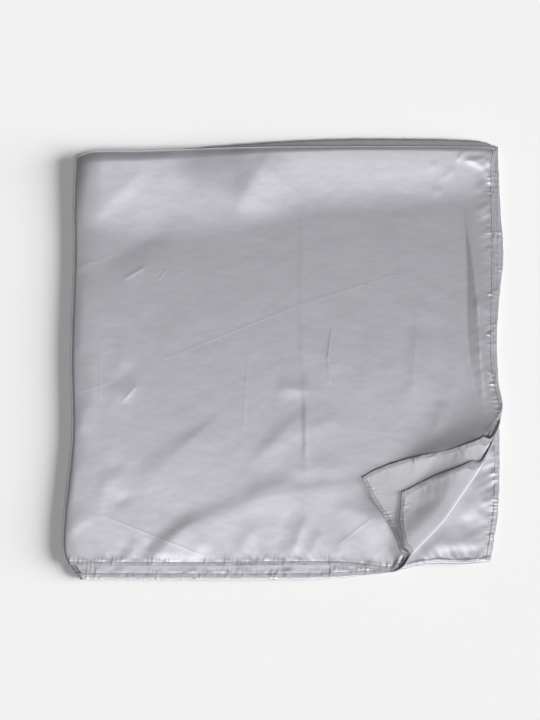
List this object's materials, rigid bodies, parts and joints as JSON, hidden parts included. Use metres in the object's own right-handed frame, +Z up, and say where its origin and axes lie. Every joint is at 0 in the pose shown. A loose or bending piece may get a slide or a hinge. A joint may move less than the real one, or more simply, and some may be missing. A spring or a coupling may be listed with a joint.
{
  "type": "folded evening stole",
  "caption": "Silver-grey satin stole with narrow stitched hems, folded to a square and laid flat with one corner of its upper layers turned back.",
  "frame": {"origin": "middle of the flat underside, where the folded stole rests", "axes": "+Z up from the table; +X towards the side where the short hems lie, away from the last fold; +Y towards the side of the first fold, away from the long hems"},
  "size_m": [0.4624, 0.4624, 0.0181],
  "materials": {
    "satin": "soft satin sheen, silver grey with a trace of lavender",
    "satin_hem": "turned and machine-stitched edge of the same satin",
    "satin_inside": "hidden layers of the same satin"
  },
  "bodies": {
    "root": {"inner_layers": "satin_inside", "second_layer": "satin", "top_layer": "satin", "top_hem_right": "satin_hem", "top_hem_lower": "satin_hem", "second_hem_right": "satin_hem", "second_hem_lower": "satin_hem"}
  },
  "joints": []
}
